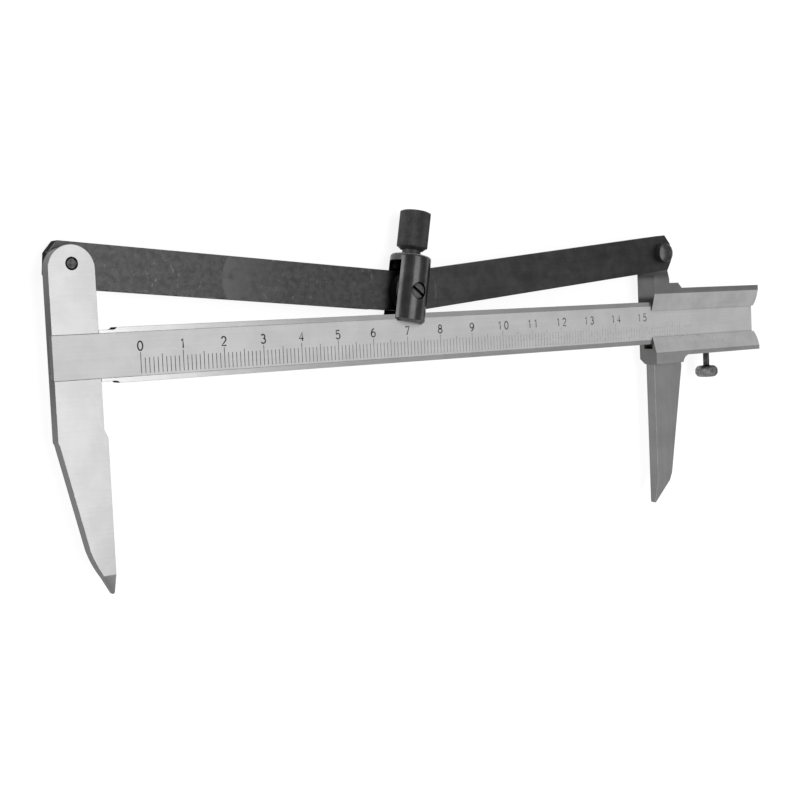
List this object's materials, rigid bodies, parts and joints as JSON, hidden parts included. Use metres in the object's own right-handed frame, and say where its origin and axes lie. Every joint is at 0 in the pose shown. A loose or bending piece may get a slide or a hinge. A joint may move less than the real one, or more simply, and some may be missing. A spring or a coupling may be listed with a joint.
{
  "type": "vernier caliper",
  "caption": "Vernier caliper with long jaws, a ruled beam and two arms that fold up from a clampable centre body as the slider closes.",
  "frame": {"origin": "middle of the fixed jaw's measuring face, at the middle of its thickness", "axes": "+X along the beam, from the fixed jaw towards larger readings; +Y from the jaw tips towards the arms; +Z out of the scale face, so the caliper lies on its back"},
  "size_m": [0.2164, 0.0809, 0.01],
  "materials": {
    "satin_steel": "satin, with a dull scale band",
    "ground_steel": "fine ground",
    "dark_steel": "black oxide",
    "spring_steel": "plain",
    "blued_steel": "worn gunmetal",
    "black_oxide": "black oxide, semi-gloss",
    "black_knurl": "black oxide, knurled",
    "brass_pad": "plain",
    "slider_steel": "satin chromed",
    "bright_steel": "worn nickel"
  },
  "bodies": {
    "beam_body": {"beam": "satin_steel", "fixed_jaw": "ground_steel", "ear_pivot_pin": "dark_steel", "ear_friction_washer": "spring_steel", "ear_rivet_washer": "spring_steel"},
    "slider": {"slider_body": "slider_steel", "sliding_jaw": "ground_steel", "slider_back_plate": "slider_steel", "back_plate_screws": "spring_steel", "gib_strip": "brass_pad", "gib_springs": "spring_steel", "tongue_washer": "spring_steel", "tongue_nut": "dark_steel"},
    "left_link": {"left_arm": "blued_steel"},
    "centre": {"centre_body": "black_oxide", "centre_pivot_screw": "black_oxide", "eye_friction_washer": "spring_steel"},
    "right_link": {"right_arm": "blued_steel", "slider_pivot_pin": "dark_steel"},
    "clamp": {"clamp_screw": "black_knurl", "clamp_pad": "brass_pad"},
    "lock": {"lock_screw": "bright_steel"}
  },
  "joints": [
    {"name": "slider_travel", "type": "slide", "parent": "beam_body", "child": "slider", "axis": [1, 0, 0], "range_m": [-0.16255, 0]},
    {"name": "left_arm_fold", "type": "hinge", "parent": "beam_body", "child": "left_link", "pos_m": [-0.0058, 0.0521, 0], "axis": [0, 0, 1], "range_deg": [0, 92.05]},
    {"name": "centre_body_turn", "type": "hinge", "parent": "left_link", "child": "centre", "pos_m": [0.08045, 0.0441, 0], "axis": [0, 0, 1], "range_deg": [-81.15, 0]},
    {"name": "right_arm_fold", "type": "hinge", "parent": "centre", "child": "right_link", "pos_m": [0.08045, 0.0441, 0], "axis": [0, 0, 1], "range_deg": [-102.94, 0]},
    {"name": "clamp_turn", "type": "hinge", "parent": "centre", "child": "clamp", "pos_m": [0.08045, 0.0441, -0.0008], "axis": [0.1891, 0.982, 0], "range_deg": [-360, 45]},
    {"name": "lock_turn", "type": "hinge", "parent": "slider", "child": "lock", "pos_m": [0.1855, 0.0237, 0], "axis": [0, 1, 0], "range_deg": [-360, 45]}
  ],
  "couplings": [
    {"joint": "left_arm_fold", "follows": "slider_travel", "rad_per_m": -9.8777},
    {"joint": "centre_body_turn", "follows": "slider_travel", "rad_per_m": 8.7077},
    {"joint": "right_arm_fold", "follows": "slider_travel", "rad_per_m": 11.048}
  ]
}
